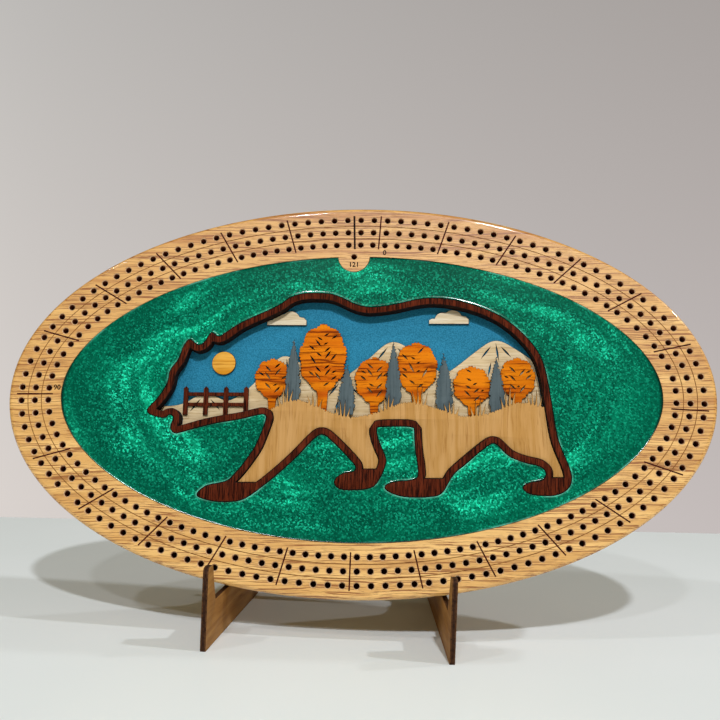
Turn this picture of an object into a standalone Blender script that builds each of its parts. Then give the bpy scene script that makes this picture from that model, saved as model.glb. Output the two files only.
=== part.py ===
# Oval cribbage board with a layered picture in a bear-shaped window, on a slotted plywood stand.
# Metres, +Z up. The board's long side runs along X and its face looks towards -Y.

import bmesh
import bpy
import numpy as np
from math import cos, pi, radians, sin, sqrt, tan

MM = 0.001

# Clearances shared by all pieces
GAP = 0.3 * MM                 # between two pieces that touch
OVERRUN = 2.0 * MM             # how far a cutter passes the face it cuts
OUTLINE_TOLERANCE = 0.25 * MM  # how far a drawn outline may stray from its curve
OFFSET_TOLERANCE = 0.08 * MM   # how far an outline may stray from the one it is drawn in from
FINE_STEPS = 2400              # steps in which a curve is measured
LOOP_SHARE = 0.997             # of its distance at which a drawn-in outline has crossed itself

# Board
BOARD_LENGTH = 406.4 * MM
BOARD_HEIGHT = 228.6 * MM
BOARD_THICKNESS = 19.0 * MM
BOARD_EDGE_ROUND = 2.5 * MM
BOARD_EDGE_SEGMENTS = 2
BOARD_EDGE_ANGLE = radians(60)
BOARD_SIDES = 90

# Peg holes: three tracks of two start holes and 120 scoring holes, and the finish hole on the tab
TRACK_COUNT = 3
TRACK_INSET = 7.6 * MM
TRACK_SPACING = 7.8 * MM
HOLES_PER_TRACK = 122
HOLE_DIAMETER = 3.1 * MM
HOLE_DEPTH = 10.0 * MM
HOLE_SIDES = 6
FINISH_HOLE_PLACE = -0.5       # in hole pitches clockwise from the top

# Pocket in the board, with a half-round tab of wood at the top
POCKET_RIM = 7.4 * MM          # wood between the inner track's holes and the pocket
POCKET_INSET = TRACK_INSET + (TRACK_COUNT - 1) * TRACK_SPACING + POCKET_RIM
POCKET_SIDES = 72
TAB_RADIUS = 9.2 * MM
TAB_SIDES = 24

# Layers of the picture, counted down from the bear's frame at the board's face
LAYER_THICKNESS = 1.2 * MM
BANK_LEVEL = 1
POPLAR_LEVEL = 2
AUTUMN_LEVEL = 3
HILL_LEVEL = 4
SKY_LEVEL = 5

# Bear, drawn on a grid of 240 by 122 whose middle is the bear's middle
RESIN_END_ROOM = 52.1 * MM     # resin between the bear and the pocket's ends
RESIN_TOP_ROOM = 22.45 * MM    # above and below the bear
BEAR_LENGTH = BOARD_LENGTH - 2 * (POCKET_INSET + RESIN_END_ROOM)
BEAR_HEIGHT = BOARD_HEIGHT - 2 * (POCKET_INSET + RESIN_TOP_ROOM)
BEAR_SHIFT = -1.3 * MM         # from the board's middle
bear_grid_shares = (240.0, 122.0)
FRAME_WIDTH = 4.0 * MM
SPLINE_STEPS = 6

# Stand, cut from one sheet of plywood
PLY_THICKNESS = 3.0 * MM
LEG_SPACING = 120.0 * MM       # between the inner faces, at the board
LEG_LENGTH = 150.0 * MM
LEG_TOE_IN = radians(3.2)
BOARD_LEAN = radians(13.5)
BOARD_ROCK = radians(2.1)
LEDGE_HEIGHT = 23.3 * MM
FRONT_POST_HEIGHT = 43.5 * MM
FRONT_POST_FOOT = 18.0 * MM
FRONT_POST_TOP = 9.5 * MM
NOTCH_ROOM = 15.0 * MM         # between the front post and the board's face
BACK_POST_HEIGHT = 118.0 * MM
BACK_POST_TOP = 16.0 * MM
BACK_POST_FOOT = 54.0 * MM     # from the ledge's back end to the rear foot
REAR_FOOT_HEIGHT = 26.0 * MM
POST_ROUND = 3.0 * MM
INNER_ROUND = 12.0 * MM
CORNER_STEPS = 4
LAP_PLACE = 78.0 * MM          # of the brace, behind the ledge's back end
LAP_HEIGHT = 15.0 * MM
BRACE_LOW = 8.0 * MM
BRACE_OVERHANG = 9.0 * MM

# Outline of the bear, clockwise from the snout, in steps of the bear's grid
bear_outline_shares = [
    (-120, -9), (-115, -3), (-109.5, 6), (-108, 14), (-103.5, 21), (-101, 28.5),
    (-97.5, 33), (-93, 29.5), (-89, 31), (-85, 37), (-81, 34.5), (-77, 36.5),
    (-68.5, 42.5), (-55, 49), (-45.5, 54), (-40, 58), (-33, 60.5), (-24, 61),
    (-14, 60), (-6.5, 56.5), (1, 53.5), (9, 52.5), (23, 54.5), (36, 57.5),
    (47, 58), (58, 56.5), (70, 53), (82, 47.5), (93, 39), (102, 28.5),
    (106.5, 19), (108, 10), (110, -1), (111.5, -13), (113.5, -25), (117, -35),
    (119.5, -42), (120, -48), (117, -53), (110, -56), (98, -55.5), (93, -52),
    (96.5, -49), (104, -47.5), (106, -43.5), (103, -40), (95, -38), (87, -35),
    (81.5, -30.5), (77.5, -27), (72, -30), (62, -38.5), (55, -44.5), (51, -51),
    (47, -56), (38, -57.5), (25, -57), (16.5, -53), (20, -49.5), (33, -47.5),
    (35, -43), (33.5, -31), (33, -20.5), (30.5, -18), (14, -18), (11.5, -20.5),
    (14, -29), (17, -37), (14.5, -45), (10.5, -51.5), (3, -53.5), (-8, -53.5),
    (-12, -49.5), (-8, -45), (-1, -43.5), (-0.5, -40), (-7, -33.5), (-15, -25),
    (-20, -22.5), (-25, -26.5), (-35, -37), (-47, -48), (-56, -55), (-64, -60),
    (-76, -61), (-85, -59.5), (-89, -57), (-83.5, -52), (-72, -49), (-65, -41),
    (-57.5, -30.5), (-54, -21), (-52, -11.5), (-66, -14), (-82.5, -17), (-97.5, -21),
    (-103, -22.5), (-106, -19.5), (-104.5, -14), (-106.5, -11.5), (-110, -13.5), (-117, -12),
]

# Where the window stops above each paw: from, to and height, in steps of the bear's grid
ankle_shares = [(-92, -50, -50), (-16, 13, -42), (13, 55, -47), (90, 122, -46)]

# Skylines of the far hills and of the near bank, from left to right
hill_shares = [
    (-130, -6), (-104, -5), (-88, 2), (-74, -2), (-60, 8), (-44, 24), (-30, 18),
    (-14, 9), (4, 21), (20, 33), (36, 25), (50, 15), (64, 24), (80, 34), (96, 26), (112, 14), (130, 8),
]
bank_shares = [
    (-84, -40), (-66, -34), (-54, -12), (-46, -6), (-34, -2), (-20, -7), (-4, -12), (12, -9),
    (28, -3), (44, -6), (60, -11), (76, -9), (92, -3), (108, -6), (130, -10),
]

# Tufts of reed on the bank: place along it and height of the blades
reed_shares = [(-41, 11), (-24, 8), (-8, 10), (17, 9), (36, 12), (54, 8), (69, 10), (86, 12), (101, 9)]
reed_blade_shares = [(-1.0, 0.55), (-0.3, 0.9), (0.35, 1.0), (1.0, 0.6)]
REED_WIDTH = 6.0 * MM
REED_LEAN_SHARE = 0.25         # of its width, at the tip of an outer blade

# Round-topped trees: place, foot, height and width, in steps of the bear's grid
autumn_tree_shares = [
    (-49, -10, 33, 22), (-20, -12, 56, 29), (10, -14, 38, 24),
    (34, -9, 42, 26), (66, -14, 33, 23), (92, -10, 34, 22),
]
# Narrow pointed trees: place, foot, height and width
poplar_shares = [
    (-37, -8, 42, 10), (-6, -14, 33, 11), (21, -11, 44, 10), (50, -13, 39, 11), (80, -13, 37, 10),
]
CROWN_LOBES = 9
LOBE_STEPS = 3
CROWN_SHARE = 0.74             # of a round tree's height
TRUNK_SHARE = 0.16             # of its width
LOBE_SHARE = 0.08              # depth of the lobes, of the crown's radius
POPLAR_STEPS = 6
POPLAR_TRUNK_SHARE = 0.1       # of its height
POPLAR_FOOT_SHARE = 0.16       # of the half turn that draws its flame, left out at the foot
POPLAR_FLAME_POWER = 0.75      # below 1 the flame is widest low down
POPLAR_NOTCH_SHARE = 0.72      # of a step, up to its notch
POPLAR_NOTCH_WIDTH_SHARE = 0.82

# Sun and clouds
sun_shares = (-78, 20)
SUN_RADIUS = 7.0 * MM
SUN_SIDES = 32
cloud_places_shares = {"cloud_left": (-41, 43), "cloud_right": (54, 44)}
cloud_puff_shares = [(-1.0, 0.0, 0.34), (-0.45, 0.22, 0.48), (0.15, 0.3, 0.56), (0.72, 0.1, 0.42)]
CLOUD_HALF = 10.0 * MM
CLOUD_STEPS = 32
CLOUD_LEAST_SHARE = 0.04       # of its half width, the lowest point of its upper edge

# Rail fence in the bear's head
FENCE_FROM_SHARE = -99.0
FENCE_TO_SHARE = -64.0
FENCE_FOOT_SHARE = -11.0
FENCE_POSTS = 4
FENCE_HEIGHT = 17.0 * MM
FENCE_POST_WIDTH = 2.8 * MM
FENCE_RAIL_WIDTH = 2.2 * MM
fence_rail_shares = [0.36, 0.72]

# Colours
OAK = (0.76, 0.55, 0.31)
RESIN = (0.0, 0.36, 0.22)
MAHOGANY = (0.16, 0.04, 0.02)
SKY_BLUE = (0.07, 0.36, 0.60)
CREAM = (0.82, 0.70, 0.50)
ORANGE = (0.80, 0.30, 0.04)
GOLD = (0.86, 0.52, 0.12)
SLATE = (0.16, 0.21, 0.25)
TAN = (0.70, 0.46, 0.24)
PLYWOOD = (0.55, 0.36, 0.18)


def clear_scene():
    for thing in list(bpy.data.objects):
        bpy.data.objects.remove(thing, do_unlink=True)


def finish_of(name, colour, roughness=0.45):
    material = bpy.data.materials.new(name)
    material.use_nodes = True
    shader = material.node_tree.nodes["Principled BSDF"]
    shader.inputs["Base Color"].default_value = (*colour, 1.0)
    shader.inputs["Roughness"].default_value = roughness
    shader.inputs["Metallic"].default_value = 0.0
    return material


# Curves and outlines. An outline is a closed, clockwise row of points.

def along(points, count, start=0.0):
    """Points at even steps along a closed outline, from a share of one step after its first point."""
    closed = np.vstack([points, points[:1]])
    steps = np.hypot(*np.diff(closed, axis=0).T)
    run = np.concatenate([[0.0], np.cumsum(steps)])
    places = ((np.arange(count) + start) / count % 1.0) * run[-1]
    return np.column_stack([np.interp(places, run, closed[:, 0]), np.interp(places, run, closed[:, 1])])


def oval(inset, sides):
    """The board's ellipse drawn in by a constant distance, clockwise from the top."""
    turn = np.arange(sides) * (2.0 * pi / sides)
    across, up = BOARD_LENGTH / 2, BOARD_HEIGHT / 2
    out = np.column_stack([up * np.sin(turn), across * np.cos(turn)])
    out = out / np.hypot(*out.T)[:, None]
    return np.column_stack([across * np.sin(turn), up * np.cos(turn)]) - inset * out


def spline(points, closed=True, steps=SPLINE_STEPS):
    """A smooth curve through all the points."""
    points = np.asarray(points, float)
    if closed:
        before, after, later = np.roll(points, 1, 0), np.roll(points, -1, 0), np.roll(points, -2, 0)
        here = points
    else:
        ends = np.vstack([points[:1], points, points[-1:]])
        before, here, after, later = ends[:-3], ends[1:-2], ends[2:-1], ends[3:]
    rows = []
    for step in range(steps):
        t = step / steps
        rows.append(0.5 * (2 * here + (after - before) * t
                           + (2 * before - 5 * here + 4 * after - later) * t ** 2
                           + (3 * here - before - 3 * after + later) * t ** 3))
    curve = np.stack(rows, axis=1).reshape(-1, 2)
    return curve if closed else np.vstack([curve, points[-1:]])


def on_bear(places):
    """Places on the bear's drawing grid, in metres on the board's face."""
    scale = np.array([BEAR_LENGTH, BEAR_HEIGHT]) / bear_grid_shares
    return np.asarray(places, float) * scale + np.array([BEAR_SHIFT, 0.0])


def thinned(points, tolerance=OUTLINE_TOLERANCE):
    """The fewest points of a row that keep within the tolerance of it."""
    first, last = points[0], points[-1]
    chord = last - first
    length = max(np.hypot(*chord), OUTLINE_TOLERANCE)
    off = np.abs(chord[0] * (points[:, 1] - first[1]) - chord[1] * (points[:, 0] - first[0])) / length
    far = int(np.argmax(off))
    if off[far] <= tolerance:
        return np.array([first, last])
    return np.vstack([thinned(points[:far + 1], tolerance)[:-1], thinned(points[far:], tolerance)])


def thinned_outline(points, tolerance=OUTLINE_TOLERANCE):
    half = len(points) // 2
    closed = np.vstack([points, points[:1]])
    return np.vstack([thinned(closed[:half + 1], tolerance)[:-1], thinned(closed[half:], tolerance)[:-1]])


def distance_to(points, outline):
    """Shortest distance from each point to a closed outline."""
    side = np.roll(outline, -1, 0) - outline
    reach = points[:, None, :] - outline[None, :, :]
    share = np.clip((reach * side).sum(axis=2) / (side ** 2).sum(axis=1), 0.0, 1.0)
    off = reach - share[:, :, None] * side
    return np.hypot(off[:, :, 0], off[:, :, 1]).min(axis=1)


def drawn_in(outline, distance):
    """An outline moved inwards, or outwards where the distance is negative, with its loops cut off."""
    fine = along(outline, FINE_STEPS)
    ahead = np.roll(fine, -1, 0) - fine
    inward = np.column_stack([ahead[:, 1], -ahead[:, 0]]) / np.hypot(*ahead.T)[:, None]
    moved = fine + inward * distance
    return moved[distance_to(moved, outline) > abs(distance) * LOOP_SHARE]


def rounded(corners):
    """An outline from corners of (x, y, radius), each with a radius turned into an arc."""
    points = []
    for index, (x, y, radius) in enumerate(corners):
        here = np.array([x, y])
        if radius == 0:
            points.append(here)
            continue
        back = np.array(corners[index - 1][:2]) - here
        ahead = np.array(corners[(index + 1) % len(corners)][:2]) - here
        back, ahead = back / np.hypot(*back), ahead / np.hypot(*ahead)
        half = np.arccos(np.clip(back @ ahead, -1, 1)) / 2
        centre = here + (back + ahead) / np.hypot(*(back + ahead)) * radius / sin(half)
        start = here + back * radius / tan(half) - centre
        end = here + ahead * radius / tan(half) - centre
        sweep = np.arctan2(start[0] * end[1] - start[1] * end[0], start @ end)
        for step in range(CORNER_STEPS + 1):
            turn = sweep * step / CORNER_STEPS
            points.append(centre + np.array([start[0] * cos(turn) - start[1] * sin(turn),
                                             start[0] * sin(turn) + start[1] * cos(turn)]))
    return np.array(points)


# Meshes and objects

def plate(outline, top, bottom):
    """A flat plate of an outline on the board's face, from one height to another."""
    mesh = bmesh.new()
    corners = [mesh.verts.new((x, y, bottom)) for x, y in outline]
    face = mesh.faces.new(corners)
    raised = bmesh.ops.extrude_face_region(mesh, geom=[face])["geom"]
    bmesh.ops.translate(mesh, verts=[v for v in raised if isinstance(v, bmesh.types.BMVert)],
                        vec=(0, 0, top - bottom))
    bmesh.ops.recalc_face_normals(mesh, faces=mesh.faces)
    return mesh


def add_object(name, mesh, material=None, parent=None):
    data = bpy.data.meshes.new(name)
    mesh.to_mesh(data)
    mesh.free()
    thing = bpy.data.objects.new(name, data)
    bpy.context.collection.objects.link(thing)
    thing.parent = parent
    if material:
        data.materials.append(material)
    return thing


def add_cutter(name, mesh, parent):
    cutter = add_object(name, mesh, parent=parent)
    cutter.hide_render = True
    cutter.display_type = "WIRE"
    return cutter


def cut(thing, cutter, operation="DIFFERENCE"):
    change = thing.modifiers.new(cutter.name, "BOOLEAN")
    change.operation = operation
    change.solver = "EXACT"
    change.object = cutter


def level_top(level):
    return -level * (LAYER_THICKNESS + GAP)


def layer(outline, level):
    """A plate of the layers' thickness on its level."""
    return plate(outline, level_top(level), level_top(level) - LAYER_THICKNESS)


# Board and what is cast into it

def track_holes(track):
    """Centres of one track's holes, clockwise from the top of the board."""
    curve = oval(TRACK_INSET + track * TRACK_SPACING, FINE_STEPS)
    return along(curve, HOLES_PER_TRACK)


def tab_centre():
    """The finish hole: on the pocket's edge, beside the line that ends the game."""
    middle = oval(TRACK_INSET + (TRACK_COUNT // 2) * TRACK_SPACING, FINE_STEPS)
    across = along(middle, HOLES_PER_TRACK, FINISH_HOLE_PLACE)[0][0]
    edge = oval(POCKET_INSET, FINE_STEPS)
    upper = edge[edge[:, 1] > 0]
    upper = upper[np.argsort(upper[:, 0])]
    return np.array([across, np.interp(across, upper[:, 0], upper[:, 1])])


def disc(centre, radius, sides):
    turn = -np.arange(sides) * (2.0 * pi / sides)
    return np.column_stack([centre[0] + radius * np.cos(turn), centre[1] + radius * np.sin(turn)])


def pocket_depth():
    return -level_top(SKY_LEVEL) + LAYER_THICKNESS + GAP


def peg_hole_cutter(parent):
    """All the peg holes as one row of prisms."""
    mesh = bmesh.new()
    centres = np.vstack([track_holes(track) for track in range(TRACK_COUNT)] + [tab_centre()[None, :]])
    for centre in centres:
        rim = [mesh.verts.new((x, y, -HOLE_DEPTH)) for x, y in disc(centre, HOLE_DIAMETER / 2, HOLE_SIDES)]
        mesh.faces.new(rim)
    raised = bmesh.ops.extrude_face_region(mesh, geom=mesh.faces[:])["geom"]
    bmesh.ops.translate(mesh, verts=[v for v in raised if isinstance(v, bmesh.types.BMVert)],
                        vec=(0, 0, HOLE_DEPTH + OVERRUN))
    bmesh.ops.recalc_face_normals(mesh, faces=mesh.faces)
    return add_cutter("peg_hole_cutter", mesh, parent)


def build_board(seat):
    board = add_object("board_blank", plate(oval(0.0, BOARD_SIDES), 0.0, -BOARD_THICKNESS),
                       finish_of("oak", OAK, 0.3), seat)
    edge = board.modifiers.new("edge_round", "BEVEL")
    edge.width = BOARD_EDGE_ROUND
    edge.segments = BOARD_EDGE_SEGMENTS
    edge.limit_method = "ANGLE"
    edge.angle_limit = BOARD_EDGE_ANGLE
    floor = -pocket_depth()
    pocket = add_cutter("pocket_cutter", plate(oval(POCKET_INSET, POCKET_SIDES), OVERRUN, floor), seat)
    tab_outline = disc(tab_centre(), TAB_RADIUS, TAB_SIDES)
    tab = add_cutter("tab_cutter", plate(tab_outline, OVERRUN * 2, floor - OVERRUN), seat)
    cut(pocket, tab)
    cut(board, pocket)
    cut(board, peg_hole_cutter(seat))


def build_resin(seat, bear):
    floor = -pocket_depth()
    field = plate(oval(POCKET_INSET + GAP, POCKET_SIDES), 0.0, floor + GAP)
    resin = add_object("resin_field", field, finish_of("pearl_resin", RESIN, 0.12), seat)
    tab_outline = disc(tab_centre(), TAB_RADIUS + GAP, TAB_SIDES)
    tab = add_cutter("resin_tab_cutter", plate(tab_outline, OVERRUN, floor - OVERRUN), seat)
    bear_room = thinned_outline(drawn_in(bear, -GAP), OFFSET_TOLERANCE)
    hollow = add_cutter("resin_bear_cutter", plate(bear_room, OVERRUN, floor - OVERRUN), seat)
    cut(resin, tab)
    cut(resin, hollow)


def ankle_height(place):
    """How far down the frame's window reaches at a place."""
    for start, end, height in ankle_shares:
        (left, level), (right, _) = on_bear([(start, height), (end, height)])
        if left < place[0] < right:
            return level
    return -BEAR_HEIGHT


def window_outline(bear, distance):
    """The bear's outline drawn in by a distance and closed straight above each paw."""
    lift = distance - FRAME_WIDTH
    inner = drawn_in(bear, distance)
    rows = []
    for here, after in zip(inner, np.roll(inner, -1, 0)):
        above, next_above = here[1] >= ankle_height(here) + lift, after[1] >= ankle_height(after) + lift
        if above:
            rows.append(here)
        if above != next_above:
            level = ankle_height(after if above else here) + lift
            share = (level - here[1]) / (after[1] - here[1])
            rows.append(here + (after - here) * share)
    return thinned_outline(np.array(rows), OFFSET_TOLERANCE)


def build_frame(seat, bear):
    mahogany = finish_of("mahogany", MAHOGANY, 0.4)
    frame = add_object("bear_frame", plate(bear, 0.0, level_top(SKY_LEVEL) + GAP), mahogany, seat)
    window = add_cutter("window_cutter", plate(window_outline(bear, FRAME_WIDTH), OVERRUN,
                                               level_top(SKY_LEVEL) - OVERRUN), seat)
    cut(frame, window)
    add_object("sky_panel", layer(bear, SKY_LEVEL), finish_of("blue_panel", SKY_BLUE, 0.5), seat)
    return mahogany


# Picture in the window

def skyline_block(skyline, name, seat):
    """A cutter that keeps what lies below a skyline."""
    low = -BEAR_HEIGHT
    right, left = skyline[-1][0], skyline[0][0]
    block = np.vstack([skyline, [(right, low), (left, low)]])
    return add_cutter(name, plate(block, OVERRUN, level_top(SKY_LEVEL) - OVERRUN), seat)


def reed_tuft(place, height, ground):
    """The points of one tuft of blades on the bank's skyline, from left to right."""
    points = []
    for lean, share in reed_blade_shares:
        root = place[0] + lean * REED_WIDTH / 2
        half = REED_WIDTH / (2 * len(reed_blade_shares) + 2)
        points.append((root - half, ground(root - half)))
        points.append((root + lean * REED_LEAN_SHARE * REED_WIDTH, ground(root) + share * height))
        points.append((root + half, ground(root + half)))
    return points


def bank_skyline():
    curve = spline(on_bear(bank_shares), closed=False)

    def ground(x):
        return float(np.interp(x, curve[:, 0], curve[:, 1]))

    points = thinned(curve).tolist()
    for across, tall in reed_shares:
        (x, _), (_, height) = on_bear([(across, 0.0), (0.0, tall)])
        tuft = reed_tuft((x, ground(x)), height, ground)
        points = [p for p in points if p[0] < tuft[0][0] or p[0] > tuft[-1][0]]
        points = [p for p in points if p[0] < tuft[0][0]] + tuft + [p for p in points if p[0] > tuft[-1][0]]
    return np.array(points)


def window_trim(seat, inside):
    """A cutter that keeps what lies inside the window."""
    return add_cutter("window_trim", plate(inside, OVERRUN, level_top(SKY_LEVEL) - OVERRUN), seat)


def build_ground(seat, inside):
    hills = add_object("far_hills", layer(inside, HILL_LEVEL), finish_of("cream_veneer", CREAM), seat)
    hill_line = thinned(spline(on_bear(hill_shares), closed=False))
    cut(hills, skyline_block(hill_line, "hill_block", seat), "INTERSECT")
    bank = add_object("foreground_bank", layer(inside, BANK_LEVEL), finish_of("tan_veneer", TAN), seat)
    cut(bank, skyline_block(bank_skyline(), "bank_block", seat), "INTERSECT")


def round_tree(foot, height, width):
    """Outline of a round-topped tree: a lobed crown on a trunk, clockwise from the trunk's foot."""
    crown = height * CROWN_SHARE / 2
    middle = height - crown
    trunk = width * TRUNK_SHARE / 2
    steps = LOBE_STEPS * CROWN_LOBES
    points = [(-trunk, 0.0)]
    for step in range(steps + 1):
        turn = -pi / 2 - 2 * pi * step / steps
        reach = 1.0 - LOBE_SHARE + LOBE_SHARE * abs(sin(CROWN_LOBES * (turn + pi / 2) / 2))
        x, y = width / 2 * reach * cos(turn), middle + crown * reach * sin(turn)
        if abs(x) > trunk or y > middle:
            points.append((x, y))
    points.append((trunk, 0.0))
    return np.array(points) + foot


def pointed_tree(foot, height, width):
    """Outline of a narrow tree: a flame with a saw edge on a short trunk, clockwise from the foot."""
    side = []
    for step in range(POPLAR_STEPS):
        low, high = step / POPLAR_STEPS, (step + POPLAR_NOTCH_SHARE) / POPLAR_STEPS
        for share, reach in ((low, 1.0), (high, POPLAR_NOTCH_WIDTH_SHARE)):
            body = sin(pi * (POPLAR_FOOT_SHARE + (1 - POPLAR_FOOT_SHARE) * share) ** POPLAR_FLAME_POWER)
            side.append((width / 2 * body * reach,
                         height * (POPLAR_TRUNK_SHARE + (1 - POPLAR_TRUNK_SHARE) * share)))
    trunk = width * TRUNK_SHARE
    left = [(-x, y) for x, y in side]
    points = [(-trunk, 0.0), (-trunk, side[0][1])] + left + [(0.0, height)] + side[::-1]
    points += [(trunk, side[0][1]), (trunk, 0.0)]
    return np.array(points) + foot


def build_trees(seat, trim):
    orange, slate = finish_of("orange_veneer", ORANGE), finish_of("slate_veneer", SLATE)
    kinds = [("autumn_tree", autumn_tree_shares, round_tree, AUTUMN_LEVEL, orange),
             ("poplar", poplar_shares, pointed_tree, POPLAR_LEVEL, slate)]
    for name, places, shape, level, material in kinds:
        for number, (x, y, tall, wide) in enumerate(places, 1):
            foot, size = on_bear([(x, y)])[0], on_bear([(wide, tall)])[0] - on_bear([(0.0, 0.0)])[0]
            tree = add_object(f"{name}_{number}", layer(shape(foot, size[1], size[0]), level), material, seat)
            cut(tree, trim, "INTERSECT")


def build_sun_and_clouds(seat, trim):
    sun_outline = disc(on_bear([sun_shares])[0], SUN_RADIUS, SUN_SIDES)
    sun = add_object("sun_disc", layer(sun_outline, HILL_LEVEL), finish_of("gold_veneer", GOLD), seat)
    cut(sun, trim, "INTERSECT")
    cream = finish_of("cloud_veneer", CREAM)
    for name, place in cloud_places_shares.items():
        centre = on_bear([place])[0]
        cut(add_object(name, layer(cloud_outline(centre), HILL_LEVEL), cream, seat), trim, "INTERSECT")


def cloud_outline(centre):
    """The upper edge of a row of round puffs, closed by a flat base."""
    across = np.linspace(-1.0, 1.0, CLOUD_STEPS + 1) * (1.0 + cloud_puff_shares[0][2])
    top = np.zeros(len(across))
    for x, y, radius in cloud_puff_shares:
        inside = np.clip(radius ** 2 - (across - x) ** 2, 0.0, None)
        top = np.maximum(top, np.where(inside > 0.0, y + np.sqrt(inside), 0.0))
    rows = np.column_stack([across, top])[top > CLOUD_LEAST_SHARE]
    return thinned(np.vstack([rows, [(rows[-1][0], 0.0), (rows[0][0], 0.0)]]) * CLOUD_HALF) + centre


def fence_outline():
    """Outer outline of the posts and rails, clockwise from the first post's foot."""
    start, foot = on_bear([(FENCE_FROM_SHARE, FENCE_FOOT_SHARE)])[0]
    end = on_bear([(FENCE_TO_SHARE, FENCE_FOOT_SHARE)])[0][0]
    rails = [foot + share * FENCE_HEIGHT for share in fence_rail_shares]
    posts = [start + (end - start) * index / (FENCE_POSTS - 1) for index in range(FENCE_POSTS)]
    half_post, half_rail = FENCE_POST_WIDTH / 2, FENCE_RAIL_WIDTH / 2
    upper, lower = [], []
    for index, x in enumerate(posts):
        if index > 0:
            upper.append((x - half_post, rails[-1] + half_rail))
            lower.append((x - half_post, rails[0] - half_rail))
        upper += [(x - half_post, foot + FENCE_HEIGHT - half_post), (x, foot + FENCE_HEIGHT),
                  (x + half_post, foot + FENCE_HEIGHT - half_post)]
        lower += [(x - half_post, foot), (x + half_post, foot)]
        if index < FENCE_POSTS - 1:
            upper.append((x + half_post, rails[-1] + half_rail))
            lower.append((x + half_post, rails[0] - half_rail))
    bays = []
    low, high = rails[0] + half_rail, rails[-1] - half_rail
    for x, following in zip(posts, posts[1:]):
        left, right = x + half_post, following - half_post
        bays.append([(left, low), (left, high), (right, high), (right, low)])
    return np.array(upper + lower[::-1]), bays


def build_fence(seat, mahogany, trim):
    outline, bays = fence_outline()
    fence = add_object("rail_fence", layer(outline, AUTUMN_LEVEL), mahogany, seat)
    cut(fence, trim, "INTERSECT")
    for number, bay in enumerate(bays, 1):
        opening = plate(bay, level_top(BANK_LEVEL), level_top(SKY_LEVEL))
        cut(fence, add_cutter(f"fence_bay_{number}", opening, seat))


# Stand

def leg_profile():
    """Side view of a leg: (distance back from the seat's corner, height)."""
    face = -(BOARD_THICKNESS / cos(BOARD_LEAN) + NOTCH_ROOM)
    front = face - FRONT_POST_FOOT
    rear = front + LEG_LENGTH
    post_top = (BACK_POST_HEIGHT - LEDGE_HEIGHT) * tan(BOARD_LEAN)
    lap = LAP_PLACE - PLY_THICKNESS / 2 * sin(LEG_TOE_IN)
    half_lap = lap_width() / 2
    lap_floor = LAP_HEIGHT - GAP / 2
    corners = [
        (front, 0.0, 0.0),
        (front, FRONT_POST_HEIGHT, POST_ROUND),
        (front + FRONT_POST_TOP, FRONT_POST_HEIGHT, POST_ROUND),
        (face, LEDGE_HEIGHT, POST_ROUND / 2),
        (0.0, LEDGE_HEIGHT, 0.0),
        (post_top, BACK_POST_HEIGHT, POST_ROUND),
        (post_top + BACK_POST_TOP, BACK_POST_HEIGHT, POST_ROUND * 2),
        (BACK_POST_FOOT, REAR_FOOT_HEIGHT, INNER_ROUND),
        (lap - half_lap, REAR_FOOT_HEIGHT, 0.0),
        (lap - half_lap, lap_floor, 0.0),
        (lap + half_lap, lap_floor, 0.0),
        (lap + half_lap, REAR_FOOT_HEIGHT, 0.0),
        (rear, REAR_FOOT_HEIGHT, POST_ROUND * 2),
        (rear, 0.0, 0.0),
    ]
    return rounded(corners), front, rear


def lap_width():
    """Slot that takes one sheet crossing another at the toe-in angle."""
    return PLY_THICKNESS / cos(LEG_TOE_IN) + PLY_THICKNESS * tan(LEG_TOE_IN) + 2 * GAP


def build_leg(name, side, stand, material):
    """One leg, with its inner face on the object's origin plane and its seat corner on the axis."""
    profile, _, _ = leg_profile()
    mesh = bmesh.new()
    corners = [mesh.verts.new((0.0, y / cos(LEG_TOE_IN), z)) for y, z in profile]
    face = mesh.faces.new(corners)
    raised = bmesh.ops.extrude_face_region(mesh, geom=[face])["geom"]
    bmesh.ops.translate(mesh, verts=[v for v in raised if isinstance(v, bmesh.types.BMVert)],
                        vec=(side * PLY_THICKNESS, 0, 0))
    bmesh.ops.recalc_face_normals(mesh, faces=mesh.faces)
    leg = add_object(name, mesh, material, stand)
    leg.location = (side * LEG_SPACING / 2, 0.0, 0.0)
    leg.rotation_euler = (0.0, 0.0, side * LEG_TOE_IN)


def build_brace(stand, material):
    """The cross piece, with a slot from below for each leg."""
    half_lap = lap_width() / 2
    centre = LEG_SPACING / 2 - LAP_PLACE * tan(LEG_TOE_IN) + PLY_THICKNESS / (2 * cos(LEG_TOE_IN))
    end = centre + half_lap + BRACE_OVERHANG
    slot_top = LAP_HEIGHT + GAP / 2
    half = [(centre - half_lap, BRACE_LOW, 0.0), (centre - half_lap, slot_top, 0.0),
            (centre + half_lap, slot_top, 0.0), (centre + half_lap, BRACE_LOW, 0.0),
            (end, BRACE_LOW, POST_ROUND), (end, REAR_FOOT_HEIGHT, POST_ROUND)]
    corners = half + [(-x, z, radius) for x, z, radius in half[::-1]]
    mesh = bmesh.new()
    face = mesh.faces.new([mesh.verts.new((x, 0.0, z)) for x, z in rounded(corners)])
    raised = bmesh.ops.extrude_face_region(mesh, geom=[face])["geom"]
    bmesh.ops.translate(mesh, verts=[v for v in raised if isinstance(v, bmesh.types.BMVert)],
                        vec=(0, PLY_THICKNESS, 0))
    bmesh.ops.recalc_face_normals(mesh, faces=mesh.faces)
    brace = add_object("stand_brace", mesh, material, stand)
    brace.location = (0.0, LAP_PLACE - PLY_THICKNESS / 2, 0.0)


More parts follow.
